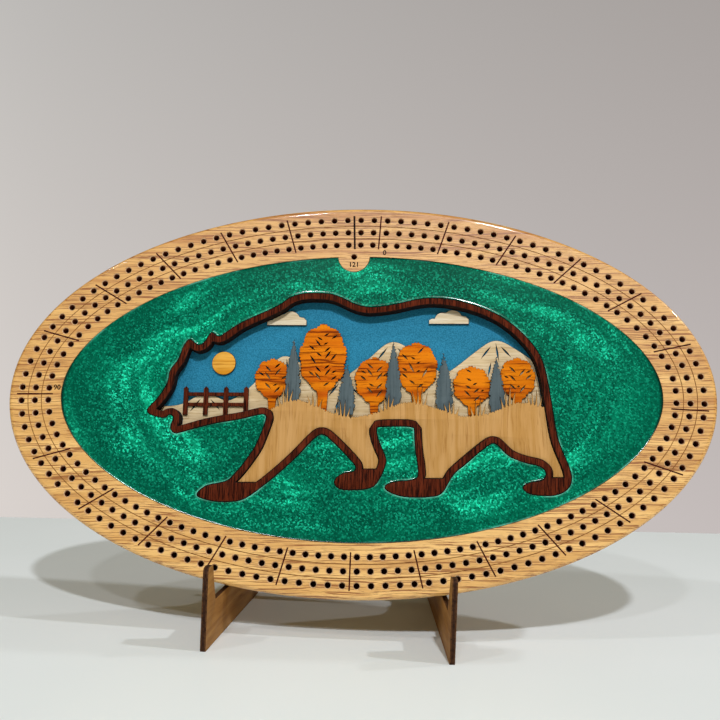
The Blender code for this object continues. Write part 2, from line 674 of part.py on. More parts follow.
def seat_place():
    """Middle of the board's face, seen from the stand's middle at the seat's corner.

    The tilted oval touches both ledges, so its middle lies on the diameter that halves the chord
    between the legs' inner faces, and it shifts sideways when it rocks.
    """
    across, up = BOARD_LENGTH / 2, BOARD_HEIGHT / 2
    ratio = across / up
    rock = BOARD_ROCK
    stretch = sqrt(cos(rock) ** 2 + (ratio * sin(rock)) ** 2)
    reach = sqrt(across ** 2 - (LEG_SPACING / 2 * stretch) ** 2) / stretch
    shift = reach * sin(rock) * cos(rock) * (ratio - 1 / ratio)
    drop = reach * (ratio * sin(rock) ** 2 + cos(rock) ** 2 / ratio)
    inner = BOARD_THICKNESS - BOARD_EDGE_ROUND
    rise = GAP + BOARD_EDGE_ROUND + (drop - BOARD_EDGE_ROUND) * cos(BOARD_LEAN) + inner * sin(BOARD_LEAN)
    back = (rise * sin(BOARD_LEAN) - GAP - BOARD_THICKNESS) / cos(BOARD_LEAN)
    return shift, back, LEDGE_HEIGHT + rise


def add_empty(name, place):
    empty = bpy.data.objects.new(name, None)
    bpy.context.collection.objects.link(empty)
    empty.location = place
    return empty


def main():
    clear_scene()
    bear = thinned_outline(spline(on_bear(bear_outline_shares)))
    shift, back, height = seat_place()
    _, front, rear = leg_profile()
    middle = (front + rear + PLY_THICKNESS * sin(LEG_TOE_IN)) / 2
    stand = add_empty("stand", (-shift, -middle, 0.0))
    seat = add_empty("board_seat", (0.0, back - middle, height))
    seat.rotation_mode = "ZYX"
    seat.rotation_euler = (pi / 2 - BOARD_LEAN, 0.0, BOARD_ROCK)

    build_board(seat)
    build_resin(seat, bear)
    mahogany = build_frame(seat, bear)
    inside = window_outline(bear, FRAME_WIDTH + GAP)
    trim = window_trim(seat, inside)
    build_ground(seat, inside)
    build_trees(seat, trim)
    build_sun_and_clouds(seat, trim)
    build_fence(seat, mahogany, trim)

    plywood = finish_of("plywood", PLYWOOD, 0.6)
    build_leg("stand_leg_left", -1, stand, plywood)
    build_leg("stand_leg_right", 1, stand, plywood)
    build_brace(stand, plywood)
    bpy.context.view_layer.update()


main()
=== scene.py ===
# Oval cribbage board: an oak rim with three peg tracks, pearl resin round a layered picture in a
# bear-shaped frame, and a slotted plywood stand. Metres; colours are sRGB hex.

import bmesh
import bpy
from bisect import bisect
from math import cos, pi, radians, sin
from mathutils import Matrix, Vector, noise
from mathutils.kdtree import KDTree


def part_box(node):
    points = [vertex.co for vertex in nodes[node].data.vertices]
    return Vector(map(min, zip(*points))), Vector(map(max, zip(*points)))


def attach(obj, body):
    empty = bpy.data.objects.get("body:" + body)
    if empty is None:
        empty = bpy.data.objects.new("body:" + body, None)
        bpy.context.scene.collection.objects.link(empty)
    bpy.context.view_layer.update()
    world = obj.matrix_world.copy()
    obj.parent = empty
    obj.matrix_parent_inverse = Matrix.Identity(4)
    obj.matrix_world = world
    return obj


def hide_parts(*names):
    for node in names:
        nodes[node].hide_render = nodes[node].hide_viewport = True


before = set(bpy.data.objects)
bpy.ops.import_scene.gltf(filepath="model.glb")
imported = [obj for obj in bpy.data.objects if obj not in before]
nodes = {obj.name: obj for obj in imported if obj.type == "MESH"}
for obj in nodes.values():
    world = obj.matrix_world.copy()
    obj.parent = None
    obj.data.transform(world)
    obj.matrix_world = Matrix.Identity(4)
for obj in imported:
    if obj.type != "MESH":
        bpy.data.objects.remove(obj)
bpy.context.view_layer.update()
mm = 0.001

board = {
    "length": 406.4 * mm,
    "height": 228.6 * mm,
    "thickness": 19.0 * mm,
    "edgeRound": 2.5 * mm,
    "edgeSteps": 6,
    "lean": 13.5,                # degrees back from upright
    "rock": 2.1,                 # degrees turned in its own plane
    "sides": 288,
    "flatInset": 0.5 * mm,       # a narrow border that keeps the two flats from taking the rim's shading
    "pocketInset": 30.6 * mm,
    "pocketDepth": 9.0 * mm,
    "tabRadius": 9.2 * mm,
    "tabSides": 64,
    "overcut": 1 * mm,           # how far a cutter stands out of the wood
}

# The board's own plane: x to the right, y up the face, z out of the face
lowCorner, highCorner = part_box("board_blank")
boardTurn = (Matrix.Rotation(radians(90 - board["lean"]), 4, "X")
             @ Matrix.Rotation(radians(board["rock"]), 4, "Z"))
faceMiddle = (lowCorner + highCorner) / 2 + boardTurn @ Vector((0, 0, board["thickness"] / 2))
boardPlace = Matrix.Translation(faceMiddle) @ boardTurn


# Finishes

def linear(hexCode):
    channels = [int(hexCode[start:start + 2], 16) / 255 for start in (1, 3, 5)]
    return [c / 12.92 if c <= 0.04045 else ((c + 0.055) / 1.055) ** 2.4 for c in channels] + [1.0]


def addNode(tree, kind, settings, output=0):
    # a socket given as a value is a link, a hex code is a colour, and stops are the colours of a ramp, the
    # two outermost first
    node = tree.nodes.new("ShaderNode" + kind)
    for key, value in settings.items():
        if key == "stops":
            ramp = node.color_ramp
            ramp.interpolation = "EASE"
            for place in list(value)[2:]:
                ramp.elements.new(place)
            for element, place in zip(ramp.elements, sorted(value)):
                element.position = place
                element.color = linear(value[place])
        elif isinstance(value, bpy.types.NodeSocket):
            tree.links.new(value, node.inputs[key])
        elif isinstance(key, str) and hasattr(node, key):
            setattr(node, key, value)
        else:
            node.inputs[key].default_value = linear(value) if isinstance(value, str) else value
    return node.outputs[output]


# settings that many nodes share. A blend's sockets are 0 the share, 6 the colour below and 7 the colour
# laid on it, and blended is the output with the result
soft = {"interpolation_type": "SMOOTHSTEP"}
blend = {"data_type": "RGBA"}
blended = 2
even = (1, 1, 1)                 # a stretch for patterns that run no way more than another


def newFinish(name, settings):
    material = bpy.data.materials.new(name)
    material.use_nodes = True
    for key, value in settings.items():
        material.node_tree.nodes["Principled BSDF"].inputs[key].default_value = value
    return material, material.node_tree


def dress(tree, colour, height, relief, strength):
    # a finish's colour and relief go to its shader
    surface = tree.nodes["Principled BSDF"]
    bump = addNode(tree, "Bump", {"Height": height, "Distance": relief, "Strength": strength})
    tree.links.new(colour, surface.inputs["Base Color"])
    tree.links.new(bump, surface.inputs["Normal"])


def boardCoords(tree):
    # the board's own plane, in metres
    place = addNode(tree, "TexCoord", {}, "Object")
    return addNode(tree, "Mapping", {"vector_type": "TEXTURE", "Vector": place,
                                     "Location": boardPlace.translation,
                                     "Rotation": boardPlace.to_euler("XYZ")})


def wander(tree, coords, size, reach):
    # coordinates pushed about by a slow noise, so that grain and flow lines aren't straight
    push = addNode(tree, "TexNoise", {"Vector": coords, "Scale": 1 / size, "Detail": 2.0}, "Color")
    centred = addNode(tree, "VectorMath", {"operation": "SUBTRACT", 0: push, 1: (0.5, 0.5, 0.5)})
    return addNode(tree, "VectorMath", {"operation": "MULTIPLY_ADD", 0: centred, 1: (reach, reach, reach),
                                        2: coords})


def grain(tree, coords, stretch, size):
    # noise of a size, drawn out along the axis whose stretch is small
    drawn = addNode(tree, "VectorMath", {"operation": "MULTIPLY", 0: coords, 1: stretch})
    return addNode(tree, "TexNoise", {"Vector": drawn, "Scale": 1 / size, "Detail": 3.0, "Roughness": 0.58})


def streaks(tree, coords, stretch, size, low, high, most=1.0):
    # lines along the grain: 0 between them and up to most on them
    lines = grain(tree, coords, stretch, size)
    return addNode(tree, "MapRange", {**soft, "Value": lines, "From Min": low, "From Max": high,
                                      "To Max": most})


def makeOak():
    # red oak under clear gloss: broad amber bands with fine streaks and short open pores along x. The
    # pores are drawn about twice as wide as real ones, so that they show
    look = {"pale": "#EBBB6F", "mid": "#D8A358", "deep": "#BE823E", "streak": "#8E5013", "pore": "#8A5115"}
    paintedShadeUpBoard = 0.9              # of the ramp for each metre up the board: painted light, so that the foot is paler, as if lit more than the top
    material, tree = newFinish("glossedOak", {"Roughness": 0.45, "Coat Weight": 0.6, "Coat Roughness": 0.06})
    coords = wander(tree, boardCoords(tree), size=70 * mm, reach=7 * mm)
    bands = grain(tree, coords, stretch=(0.05, 1, 0.5), size=7 * mm)
    height = addNode(tree, "SeparateXYZ", {0: coords}, "Y")
    # painted light: the bands go darker up the board, so the foot looks more lit
    bands = addNode(tree, "Math", {"operation": "MULTIPLY_ADD", 0: height, 1: paintedShadeUpBoard, 2: bands})
    colour = addNode(tree, "ValToRGB", {"Fac": bands, "stops": {0.3: look["pale"], 0.75: look["deep"],
                                                                0.52: look["mid"]}})
    dark = streaks(tree, coords, stretch=(0.014, 1, 0.4), size=0.65 * mm, low=0.54, high=0.58, most=0.9)
    colour = addNode(tree, "Mix", {**blend, 0: dark, 6: colour, 7: look["streak"]}, blended)
    pores = streaks(tree, coords, stretch=(0.06, 1, 1), size=0.5 * mm, low=0.56, high=0.64, most=0.5)
    colour = addNode(tree, "Mix", {**blend, 0: pores, 6: colour, 7: look["pore"]}, blended)
    dress(tree, colour, pores, relief=-0.1 * mm, strength=0.5)
    return material


def makeCutWood(name, dark, pale, size):
    # wood opened by a bit or burnt by a laser: matt, specked from clean to sooty, with no gloss on it
    material, tree = newFinish(name, {"Roughness": 0.75, "Specular IOR Level": 0.1})
    soot = grain(tree, addNode(tree, "TexCoord", {}, "Object"), even, size)
    colour = addNode(tree, "ValToRGB", {"Fac": soot, "stops": {0.35: dark, 0.7: pale}})
    dress(tree, colour, soot, relief=0.08 * mm, strength=0.5)
    return material


def makeResin():
    # cast epoxy with pearl pigment: mica drifts in clouds and in long swirls that run round the picture,
    # under a glassy surface. The flakes are drawn much coarser than mica, so that they show
    look = {"deep": "#00513B", "mid": "#006549", "light": "#007353", "crest": "#0AA276", "flake": "#2AF0BA",
            "sunk": "#003023", "mintHighlight": "#7BE3C6", "rim": "#00231A"}
    cloudSize, flakeSize, patchSize = 48 * mm, 0.8 * mm, 22 * mm
    material, tree = newFinish("pearlResin", {"Roughness": 0.45, "Specular IOR Level": 0.0,
                                              "Coat Weight": 0.6, "Coat Roughness": 0.12})
    coords = boardCoords(tree)
    clouds = addNode(tree, "TexNoise", {"Vector": wander(tree, coords, size=90 * mm, reach=60 * mm),
                                        "Scale": 1 / cloudSize, "Detail": 2.0, "Distortion": 0.3})
    colour = addNode(tree, "ValToRGB", {"Fac": clouds, "stops": {0.3: look["deep"], 0.72: look["light"],
                                                                 0.52: look["mid"]}})
    # an oval measure, 0 at the middle and 1 at the pocket's wall, and the way out from the middle
    pocket = [1 / (size / 2 - board["pocketInset"]) for size in (board["length"], board["height"])]
    oval = addNode(tree, "VectorMath", {"operation": "MULTIPLY", 1: (*pocket, 0),
                                        0: wander(tree, coords, size=80 * mm, reach=42 * mm)})
    way = addNode(tree, "VectorMath", {"operation": "NORMALIZE", 0: oval})
    reach = addNode(tree, "VectorMath", {"operation": "LENGTH", 0: oval}, "Value")
    ring = addNode(tree, "VectorMath", {"operation": "MULTIPLY_ADD", 0: way, 1: (1.3, 1.3, 0),
                                        2: addNode(tree, "CombineXYZ", {"Z": reach})})
    swirls = streaks(tree, ring, stretch=(1, 1, 9), size=1.0, low=0.45, high=0.66)
    dense = addNode(tree, "MapRange", {**soft, "Value": clouds, "From Min": 0.36, "From Max": 0.62})
    drift = addNode(tree, "Math", {"operation": "MULTIPLY", 0: swirls, 1: dense})
    colour = addNode(tree, "Mix", {**blend, 0: drift, 6: colour, 7: look["crest"]}, blended)
    combed = streaks(tree, ring, stretch=(1, 1, 22), size=1.0, low=0.46, high=0.6, most=0.75)
    colour = addNode(tree, "Mix", {**blend, 0: combed, 6: colour, 7: look["deep"]}, blended)
    # every flake lies its own way: some flash, most where the pearl is dense, and some go dark
    flakes = addNode(tree, "TexVoronoi", {"Vector": coords, "Scale": 1 / flakeSize}, "Color")
    red, green, blue = [addNode(tree, "SeparateColor", {"Color": flakes}, channel) for channel in range(3)]
    flash = addNode(tree, "MapRange", {**soft, "Value": red, "From Min": 0.45, "From Max": 1.0})
    amount = addNode(tree, "MapRange", {"Value": drift, "From Max": 0.6, "To Min": 0.26, "To Max": 0.95})
    bright = addNode(tree, "Math", {"operation": "MULTIPLY", 0: flash, 1: amount})
    colour = addNode(tree, "Mix", {**blend, 0: bright, 6: colour, 7: look["flake"]}, blended)
    sunk = addNode(tree, "MapRange", {**soft, "Value": green, "From Min": 0.4, "From Max": 1.0,
                                      "To Max": 0.65})
    colour = addNode(tree, "Mix", {**blend, 0: sunk, 6: colour, 7: look["sunk"]}, blended)
    # the pearl thins out towards the pocket's wall, and a painted highlight lies in mint patches where the
    # resin climbs the frame
    edge = addNode(tree, "VectorMath", {"operation": "MULTIPLY", 0: coords, 1: (*pocket, 0)})
    edge = addNode(tree, "VectorMath", {"operation": "LENGTH", 0: edge}, "Value")
    thin = addNode(tree, "MapRange", {**soft, "Value": edge, "From Min": 0.84, "From Max": 1.0,
                                      "To Max": 0.5})
    colour = addNode(tree, "Mix", {**blend, 0: thin, 6: colour, 7: look["deep"]}, blended)
    # painted highlight: mint patches on the meniscus, standing in for light caught where the resin climbs
    climb = addNode(tree, "Attribute", {"attribute_name": "climb"}, "Fac")
    patches = streaks(tree, coords, even, patchSize, low=0.47, high=0.64, most=0.75)
    lipHighlight = addNode(tree, "Math", {"operation": "MULTIPLY", 0: climb, 1: patches})
    colour = addNode(tree, "Mix", {**blend, 0: lipHighlight, 6: colour, 7: look["mintHighlight"]}, blended)
    line = addNode(tree, "MapRange", {**soft, "Value": edge, "From Min": 0.984, "From Max": 0.996,
                                      "To Max": 0.9})
    colour = addNode(tree, "Mix", {**blend, 0: line, 6: colour, 7: look["rim"]}, blended)
    dress(tree, colour, blue, relief=0.05 * mm, strength=0.35)
    return material


def makeVeneer(name, pale, broad, lines, across, size, share, limits=(0.52, 0.7)):
    # thin wood sheet, sanded and matt: a pale ground with broad bands, and fine darker lines along x if the
    # grain runs across, or else along y
    material, tree = newFinish(name, {"Roughness": 0.7, "Specular IOR Level": 0.04})
    coords = wander(tree, boardCoords(tree), size=30 * mm, reach=3 * mm)
    along = (0.04, 1, 1) if across else (1, 0.04, 1)
    bands = grain(tree, coords, along, size * 4)
    colour = addNode(tree, "ValToRGB", {"Fac": bands, "stops": {0.32: pale, 0.68: broad}})
    fine = streaks(tree, coords, along, size, *limits, share)
    colour = addNode(tree, "Mix", {**blend, 0: fine, 6: colour, 7: lines}, blended)
    dress(tree, colour, fine, relief=-0.1 * mm, strength=0.5)
    return material


def makeSkyPanel():
    # hardboard under matt blue paint: an even tone with a fine orange-peel texture
    material, tree = newFinish("bluePaintedPanel", {"Roughness": 0.7, "Specular IOR Level": 0.08})
    peel = grain(tree, boardCoords(tree), even, 0.7 * mm)
    colour = addNode(tree, "ValToRGB", {"Fac": peel, "stops": {0.3: "#1B6781", 0.7: "#2F84A4"}})
    dress(tree, colour, peel, relief=0.08 * mm, strength=0.5)
    return material


def makePlyFace():
    # birch plywood, raw and smoked by the laser: warm brown tan with faint long grain
    material, tree = newFinish("rawPlywood", {"Roughness": 0.62, "Specular IOR Level": 0.15})
    coords = wander(tree, addNode(tree, "TexCoord", {}, "Object"), size=40 * mm, reach=6 * mm)
    bands = grain(tree, coords, stretch=(0.06, 0.06, 1), size=5 * mm)
    colour = addNode(tree, "ValToRGB", {"Fac": bands, "stops": {0.3: "#A87A40", 0.7: "#875A2A"}})
    lines = streaks(tree, coords, stretch=(0.04, 0.04, 1), size=1.1 * mm, low=0.55, high=0.75, most=0.5)
    colour = addNode(tree, "Mix", {**blend, 0: lines, 6: colour, 7: "#6D431B"}, blended)
    dress(tree, colour, lines, relief=-0.15 * mm, strength=0.4)
    return material


def makePlyEdge():
    # laser-cut plywood edge: charred veneers with a browner core between darker glue lines
    material, tree = newFinish("charredPlyEdge", {"Roughness": 0.7, "Specular IOR Level": 0.1})
    depth = addNode(tree, "Attribute", {"attribute_name": "sheetDepth"}, "Fac")
    glue = "#1C0E08"
    layers = {0.0: "#5A3A22", 1.0: "#55361F", 0.26: "#57381F", 0.33: glue, 0.42: "#3C2415", 0.6: "#452A18",
              0.67: glue, 0.74: "#5A3A22"}
    colour = addNode(tree, "ValToRGB", {"Fac": depth, "stops": layers})
    soot = streaks(tree, addNode(tree, "TexCoord", {}, "Object"), even, size=1.2 * mm, low=0.35, high=0.7)
    colour = addNode(tree, "Mix", {**blend, 0: soot, 6: colour, 7: "#241209"}, blended)
    dress(tree, colour, soot, relief=0.12 * mm, strength=0.5)
    return material


oak = makeOak()
cutOak = makeCutWood("countersunkOak", dark="#AC845C", pale="#D6B48A", size=1.0 * mm)
# the drilled walls are partly bare end grain and partly painted shade: darkened to stand for the gloom deep
# in the holes
holeWallsPaintedShade = makeCutWood("drilledOakAndShade", dark="#6E3520", pale="#8C4E32", size=1.5 * mm)
burntLine = makeCutWood("burntLine", dark="#330B08", pale="#551812", size=1.2 * mm)
scoredLine = makeCutWood("scoredLine", dark="#774A20", pale="#9E6C36", size=2.0 * mm)
charredEdge = makeCutWood("charredEdge", dark="#0D0604", pale="#2A150B", size=1.5 * mm)
resin = makeResin()
mahogany = makeVeneer("darkMahogany", pale="#602612", broad="#441808", lines="#150503", across=False,
                      size=0.5 * mm, share=0.9, limits=(0.47, 0.6))
tanVeneer = makeVeneer("tanBirch", pale="#C1945B", broad="#B28346", lines="#8F5F2C", across=False,
                       size=0.7 * mm, share=0.45)
creamVeneer = makeVeneer("creamMaple", pale="#D9C39E", broad="#C6AB80", lines="#93693A", across=True,
                         size=0.9 * mm, share=0.6)
cloudVeneer = makeVeneer("whiteMaple", pale="#E2D5BC", broad="#D3BF9B", lines="#A98A5C", across=True,
                         size=0.9 * mm, share=0.5)
goldVeneer = makeVeneer("goldenStain", pale="#DDA344", broad="#CB8722", lines="#965A10", across=True,
                        size=1.0 * mm, share=0.5)
orangeVeneer = makeVeneer("orangeStain", pale="#DA7A0C", broad="#BC5506", lines="#6A2402", across=True,
                          size=1.2 * mm, share=0.85, limits=(0.54, 0.62))
slateVeneer = makeVeneer("slateStain", pale="#596466", broad="#4A5659", lines="#30393C", across=False,
                         size=0.8 * mm, share=0.4)
skyPanel = makeSkyPanel()
plyFace = makePlyFace()
plyEdge = makePlyEdge()
print("finishes made")


# Shapes in the board's own plane

# points nearer than this are one: on a node's mesh, on a curve made solid and after a cut
weld = {"node": 0.005 * mm, "curve": 0.001 * mm, "cut": 0.003 * mm}
sharpAngle = 30                  # degrees: a sharper bend of a surface is shaded as an edge


def placed(name, data):
    thing = bpy.data.objects.new(name, data)
    bpy.context.scene.collection.objects.link(thing)
    return thing


def finished(thing):
    # the mesh that an object's curve or modifiers give. The object itself goes
    bpy.context.view_layer.update()
    mesh = bpy.data.meshes.new_from_object(thing.evaluated_get(bpy.context.evaluated_depsgraph_get()))
    bpy.data.objects.remove(thing)
    return mesh


def solidFrom(curve, place):
    shape = bmesh.new()
    mesh = finished(placed("curve", curve))
    mesh.transform(place)
    shape.from_mesh(mesh)
    bmesh.ops.remove_doubles(shape, verts=shape.verts, dist=weld["curve"])
    bmesh.ops.recalc_face_normals(shape, faces=shape.faces[:])
    return shape


def ovalPoint(turn, inset=0.0):
    # a point of the board's outline moved inwards square to the edge, and the way out to the edge
    across, up = board["length"] / 2, board["height"] / 2
    out = Vector((up * sin(turn), across * cos(turn))).normalized()
    return Vector((across * sin(turn), up * cos(turn))) - out * inset, out


def ovalFace(inset):
    shape = bmesh.new()
    bmesh.ops.create_circle(shape, cap_ends=True, radius=0.5, segments=board["sides"])
    bmesh.ops.scale(shape, vec=(board["length"], board["height"], 1), verts=shape.verts)
    if inset:
        cutBorder(shape, inset)
    return shape


def cutBorder(shape, width, keepBorder=False):
    # draws the only face in by a width, and keeps what is inside or the border alone
    middle = shape.faces[:]
    border = bmesh.ops.inset_region(shape, faces=middle, thickness=width, use_even_offset=True,
                                    use_boundary=True)["faces"]
    bmesh.ops.delete(shape, geom=middle if keepBorder else border, context="FACES")


def cornersOf(parts):
    return [part for part in parts if isinstance(part, bmesh.types.BMVert)]


def thicken(shape, top, bottom):
    # turns flat faces at z = 0 into a closed solid between two heights
    bmesh.ops.translate(shape, vec=(0, 0, bottom), verts=shape.verts)
    raised = bmesh.ops.extrude_face_region(shape, geom=shape.faces[:])["geom"]
    bmesh.ops.translate(shape, vec=(0, 0, top - bottom), verts=cornersOf(raised))
    bmesh.ops.recalc_face_normals(shape, faces=shape.faces[:])


def meshFrom(shape, name, *materials):
    mesh = bpy.data.meshes.new(name)
    shape.to_mesh(mesh)
    shape.free()
    for material in materials:
        mesh.materials.append(material)
    return mesh


def carved(mesh, *cutters):
    # the mesh with each cutter's mesh taken out of it; cut walls keep the cutter's finish
    solid = placed("solid", mesh)
    tools = [placed("tool", cutter) for cutter in cutters]
    for tool in tools:
        cut = solid.modifiers.new("cut", "BOOLEAN")
        cut.operation = "DIFFERENCE"
        cut.solver = "EXACT"
        cut.material_mode = "TRANSFER"
        cut.object = tool
    result = finished(solid)
    for tool in tools:
        bpy.data.objects.remove(tool)
    shape = bmesh.new()
    shape.from_mesh(result)
    bmesh.ops.remove_doubles(shape, verts=shape.verts, dist=weld["cut"])
    bmesh.ops.dissolve_degenerate(shape, edges=shape.edges, dist=weld["cut"])
    bmesh.ops.holes_fill(shape, edges=[edge for edge in shape.edges if edge.is_boundary])
    bmesh.ops.recalc_face_normals(shape, faces=shape.faces[:])
    shape.to_mesh(result)
    shape.free()
    return result


def addPiece(name, mesh, body, node, place):
    # a finished piece: its place goes into its mesh, and it stands for the frame's node
    mesh.name = name
    mesh.transform(place)
    mesh.shade_smooth()
    mesh.set_sharp_from_angle(angle=radians(sharpAngle))
    piece = placed(name, mesh)
    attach(piece, body)
    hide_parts(node)


# Oak board

track = {
    "insets": [7.6 * mm, 15.4 * mm, 23.2 * mm],
    "holes": 122,                # in each track, two of them for the start
    "scoringHoles": 120,
    "holeRadius": 1.7 * mm,      # 0.15 mm over the drilled one, as wide as the dark mouths look
    "holeDepth": 10.0 * mm,
    "countersink": 0.45 * mm,
    "holeSides": 12,
    "fineSteps": 2400,           # short straight steps that stand for a track
}
marks = {
    "tallyWidth": 0.84 * mm,
    "endWidth": 1.15 * mm,       # the finish line is the heavy one
    "laneWidth": 0.47 * mm,
    "depth": 0.22 * mm,
    "overhang": 2.7 * mm,        # past the outer and the inner track
    "endPlace": -0.5,            # in hole pitches clockwise from the top
    "firstTally": 1.5,
    "tallyStep": 5,
    "ninetyPlace": 91.5,
    "numberShift": 0.55,         # hole pitches past their lines
    "numberInset": 27.9 * mm,
    "numberSize": 4.1 * mm,
    "numberWeight": 0.1 * mm,    # what the burn adds to a stroke on each side
    "numberSteps": 4,
    "finishDrop": 5.0 * mm,      # from the last hole down to its number
}


def alongTrack(inset, places):
    # points at places given in hole pitches round a track
    steps = track["fineSteps"]
    fine = [ovalPoint(2 * pi * step / steps, inset) for step in range(steps + 1)]
    run = [0.0]
    for (here, _), (after, _) in zip(fine, fine[1:]):
        run.append(run[-1] + (after - here).length)
    found = []
    for place in places:
        target = place / track["holes"] % 1.0 * run[-1]
        index = min(bisect(run, target) - 1, steps - 1)
        share = (target - run[index]) / (run[index + 1] - run[index])
        found.append(fine[index][0].lerp(fine[index + 1][0], share))
    return found


def finishHole():
    # on the pocket's edge, level with the line that ends the game
    across = alongTrack(track["insets"][1], [marks["endPlace"]])[0].x
    steps = track["fineSteps"]
    edge = [ovalPoint(2 * pi * step / steps, board["pocketInset"])[0] for step in range(steps)]
    return min((point for point in edge if point.y > 0), key=lambda point: abs(point.x - across))


def drillShape(centres):
    # one countersunk bit, copied to every hole: finish 1 below the countersink
    bits = bmesh.new()
    radius, rim, depth, over = track["holeRadius"], track["countersink"], track["holeDepth"], board["overcut"]
    profile = [(0, -depth), (radius, -depth), (radius, -rim), (radius + rim, 0), (radius + rim, over),
               (0, over)]
    points = [bits.verts.new((across, 0, up)) for across, up in profile]
    lines = [bits.edges.new(pair) for pair in zip(points, points[1:])]
    bmesh.ops.spin(bits, geom=points + lines, axis=(0, 0, 1), cent=(0, 0, 0), steps=track["holeSides"],
                   angle=2 * pi, use_merge=True)
    bmesh.ops.remove_doubles(bits, verts=bits.verts, dist=weld["curve"])
    bmesh.ops.recalc_face_normals(bits, faces=bits.faces[:])
    for face in bits.faces:
        face.material_index = 1 if face.calc_center_median().z < -rim else 0
    first = bits.verts[:] + bits.edges[:] + bits.faces[:]
    for centre in centres:
        copied = bmesh.ops.duplicate(bits, geom=first)["geom"]
        bmesh.ops.translate(bits, vec=(centre.x, centre.y, 0), verts=cornersOf(copied))
    bmesh.ops.delete(bits, geom=cornersOf(first), context="VERTS")
    return bits


def grooveShape(lines):
    # straight burnt lines, each from one point to another with its own width. The heavy one takes finish 1
    shape = bmesh.new()
    for start, end, width in lines:
        way = end - start
        middle = (start + end) / 2
        spot = (Matrix.Translation((middle.x, middle.y, 0))
                @ Matrix.Rotation(way.to_3d().to_track_quat("X", "Z").to_euler().z, 4, "Z")
                @ Matrix.Diagonal((way.length, width, marks["depth"] * 2, 1)))
        corners = bmesh.ops.create_cube(shape, size=1.0, matrix=spot)["verts"]
        for face in {face for corner in corners for face in corner.link_faces}:
            face.material_index = 1 if width > marks["tallyWidth"] else 0
    return shape


def tallyLines():
    # a line before every fifth hole, the heavy one that ends the game and one more at the left end
    outer, inner = track["insets"][0], track["insets"][-1]
    places = [marks["endPlace"], marks["firstTally"]]
    steps = range(marks["tallyStep"], track["scoringHoles"], marks["tallyStep"])
    places += [marks["firstTally"] + step for step in steps]
    places.append(marks["ninetyPlace"])
    lines = []
    for place, high, low in zip(places, alongTrack(outer, places), alongTrack(inner, places)):
        way = (high - low).normalized() * marks["overhang"]
        width = marks["endWidth"] if place == marks["endPlace"] else marks["tallyWidth"]
        lines.append((high + way, low - way, width))
    return lines


def laneShape(inset):
    ring = ovalFace(inset - marks["laneWidth"] / 2)
    cutBorder(ring, marks["laneWidth"], keepBorder=True)
    thicken(ring, board["overcut"], -marks["depth"])
    return ring


def numberMesh(text, centre):
    # plain figures, burnt in: a solid cutter as deep as the lines
    figures = bpy.data.curves.new(text, "FONT")
    figures.body = text
    figures.size = marks["numberSize"]
    figures.align_x, figures.align_y = "CENTER", "CENTER"
    figures.resolution_u = marks["numberSteps"]
    figures.extrude = marks["depth"]
    figures.offset = marks["numberWeight"]
    return meshFrom(solidFrom(figures, Matrix.Translation((centre.x, centre.y, 0))), "number", charredEdge)


def makeBoard():
    # the oval slab with its rims rounded over, front and back
    shape = ovalFace(0)
    thicken(shape, 0, -board["thickness"])
    rims = [edge for edge in shape.edges if len(edge.link_faces[0].verts) != len(edge.link_faces[1].verts)]
    bmesh.ops.bevel(shape, geom=rims, offset=board["edgeRound"], offset_type="OFFSET",
                    segments=board["edgeSteps"], profile=0.5, affect="EDGES", material=-1)
    flats = [face for face in shape.faces if len(face.verts) == board["sides"]]
    bmesh.ops.inset_individual(shape, faces=flats, thickness=board["flatInset"], use_even_offset=True)

    # the pocket's cutter lacks the half-round tab, which so stays in the wood
    pocket = ovalFace(board["pocketInset"])
    thicken(pocket, board["overcut"], -board["pocketDepth"])
    tab = bmesh.new()
    centre = finishHole()
    bmesh.ops.create_circle(tab, cap_ends=True, radius=board["tabRadius"], segments=board["tabSides"])
    bmesh.ops.translate(tab, vec=(centre.x, centre.y, 0), verts=tab.verts)
    thicken(tab, 2 * board["overcut"], -board["pocketDepth"] - board["overcut"])
    pocketMesh = carved(meshFrom(pocket, "pocket", oak), meshFrom(tab, "tab", oak))

    places = range(track["holes"])
    centres = [point for inset in track["insets"] for point in alongTrack(inset, places)] + [centre]
    lanes = [(a + b) / 2 for a, b in zip(track["insets"], track["insets"][1:])]
    beside = [marks[line] + marks["numberShift"] for line in ("firstTally", "ninetyPlace")]
    top, ninety = alongTrack(marks["numberInset"], beside)
    mesh = carved(
        meshFrom(shape, "board", oak), pocketMesh,
        meshFrom(drillShape(centres), "drill", cutOak, holeWallsPaintedShade),
        meshFrom(grooveShape(tallyLines()), "lines", burntLine, charredEdge),
        *[meshFrom(laneShape(inset), "lane", scoredLine) for inset in lanes],
        numberMesh("0", top), numberMesh("90", ninety),
        numberMesh("121", centre - Vector((0, marks["finishDrop"]))))
    addPiece("oakBoard", mesh, "board", "board_blank", place=boardPlace)


makeBoard()
print("oak board drilled and marked")


# Sheets and resin, drawn from the outlines of the frame's nodes

sheet = {
    "cornerAngle": 32,           # degrees: a sharper turn of an outline stays a corner
    "straightAngle": 0.4,        # and a slighter one is no turn at all
    "curveSteps": 5,
    "rimSteps": 1,
    "front": 0.9,                # how far a face of the solid looks out of the board
    "flat": 0.98,                # and how far one of the sheet has to, to stay clean
}


def outlinesOf(solid):
    # the outlines of a sheet's front face, with the sheet on the left of each
    solid.normal_update()
    following = {}
    for face in solid.faces:
        if face.normal.z < sheet["front"]:
            continue
        for corner in face.loops:
            if corner.link_loop_radial_next.face.normal.z < sheet["front"]:
                following[corner.vert] = corner.link_loop_next.vert
    outlines = []
    while following:
        start, here = following.popitem()
        outline = [start]
        while here != start:
            outline.append(here)
            here = following.pop(here)
        outlines.append([v.co.xy.copy() for v in outline])
    solid.free()
    return outlines


